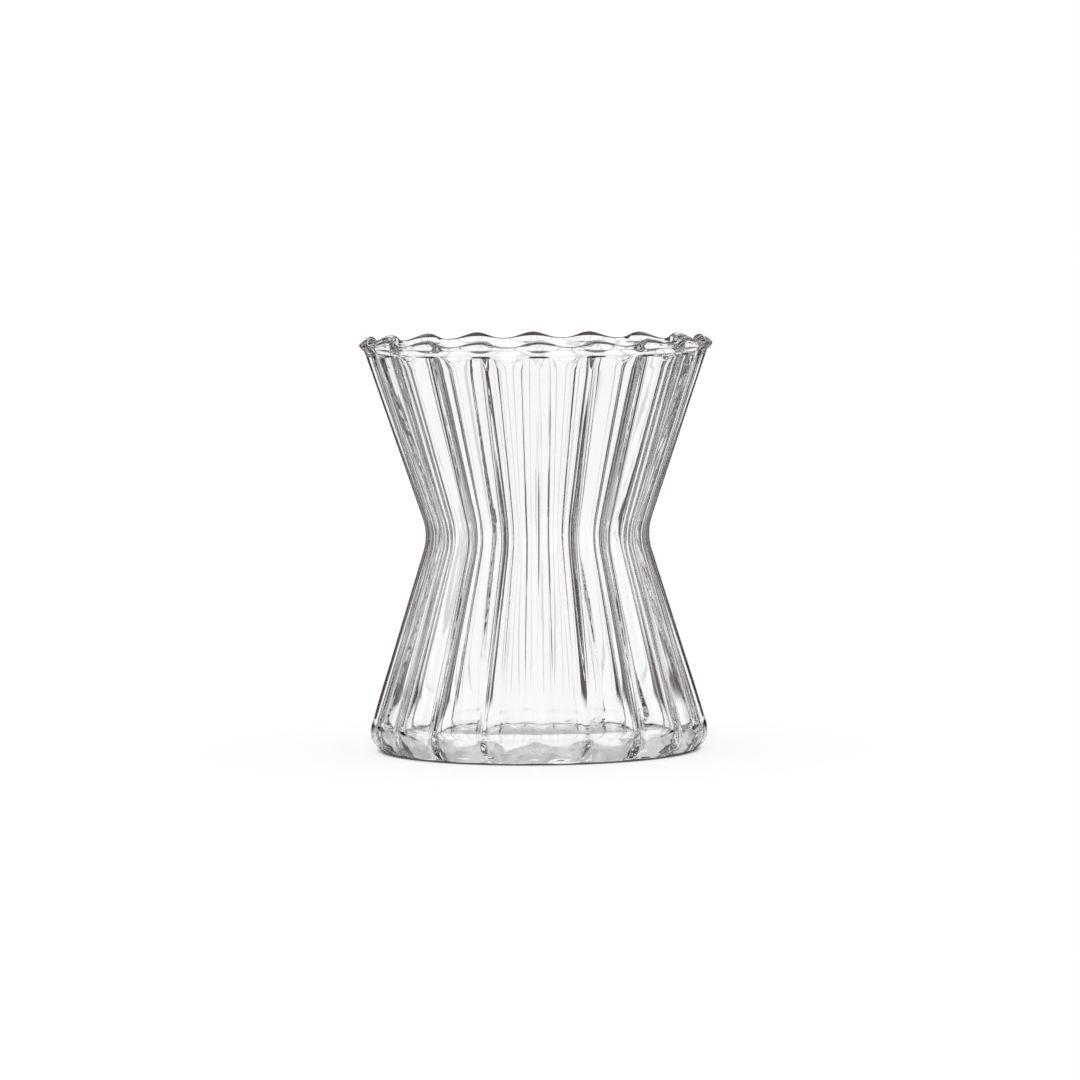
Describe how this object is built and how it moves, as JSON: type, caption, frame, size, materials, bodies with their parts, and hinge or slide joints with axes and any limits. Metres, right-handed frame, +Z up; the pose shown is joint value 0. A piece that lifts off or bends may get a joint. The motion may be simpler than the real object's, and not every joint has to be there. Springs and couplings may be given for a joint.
{
  "type": "tea glass",
  "caption": "Clear waisted tea glass, an hourglass with upright flutes all round, a waved fire-polished bead at the rim and a rounded heel on a flat foot.",
  "frame": {"origin": "centre of the circle that the glass stands on, at the underside of its foot", "axes": "+Z up along the axis of the glass; a groove between two flutes faces -Y and another faces +Y"},
  "size_m": [0.078, 0.0772, 0.0913],
  "materials": {
    "clear_glass": "clear, colourless, mould-blown and fire-polished"
  },
  "bodies": {
    "root": {"base_disc": "clear_glass", "lower_wall": "clear_glass", "upper_wall": "clear_glass", "rim_bead": "clear_glass"}
  },
  "joints": []
}
